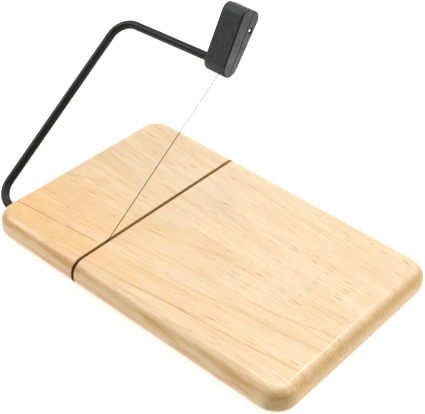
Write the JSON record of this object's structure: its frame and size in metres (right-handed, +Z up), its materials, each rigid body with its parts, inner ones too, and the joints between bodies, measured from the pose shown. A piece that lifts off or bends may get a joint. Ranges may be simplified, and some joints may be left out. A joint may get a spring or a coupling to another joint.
{
  "type": "wire cheese slicer board",
  "caption": "Rounded wooden board with a narrow cross groove and a hinged black steel arm that swings a taut cutting wire down into the groove.",
  "frame": {"origin": "centre of the whole part's box, on the surface that its rubber feet stand on, with the arm at its stored angle", "axes": "+X along the board away from the arm's rising leg, +Y from the front edge beside the pivot to the rear edge, +Z up"},
  "size_m": [0.2598, 0.1664, 0.1412],
  "materials": {
    "wood": "sanded, oiled, satin",
    "foot_rubber": "matt",
    "black_coating": "satin powder coat",
    "wire_steel": "drawn, bright",
    "screw_steel": "bright zinc plate",
    "handle_plastic": "fine spark texture"
  },
  "bodies": {
    "board_base": {"board": "wood", "foot_front_left": "foot_rubber", "foot_front_right": "foot_rubber", "foot_rear_left": "foot_rubber", "foot_rear_right": "foot_rubber", "foot_screws": "screw_steel"},
    "arm": {"arm_rod": "black_coating", "cutting_wire": "wire_steel", "wire_bead": "wire_steel", "anchor_washer": "screw_steel", "anchor_pin": "screw_steel", "handle_front_shell": "handle_plastic", "handle_rear_shell": "handle_plastic", "handle_screws": "screw_steel", "rod_key_pin": "screw_steel"}
  },
  "joints": [
    {"name": "arm_swing", "type": "hinge", "parent": "board_base", "child": "arm", "pos_m": [-0.03485, -0.06418, 0.01252], "axis": [1, 0, 0], "range_deg": [-38, 139]}
  ]
}
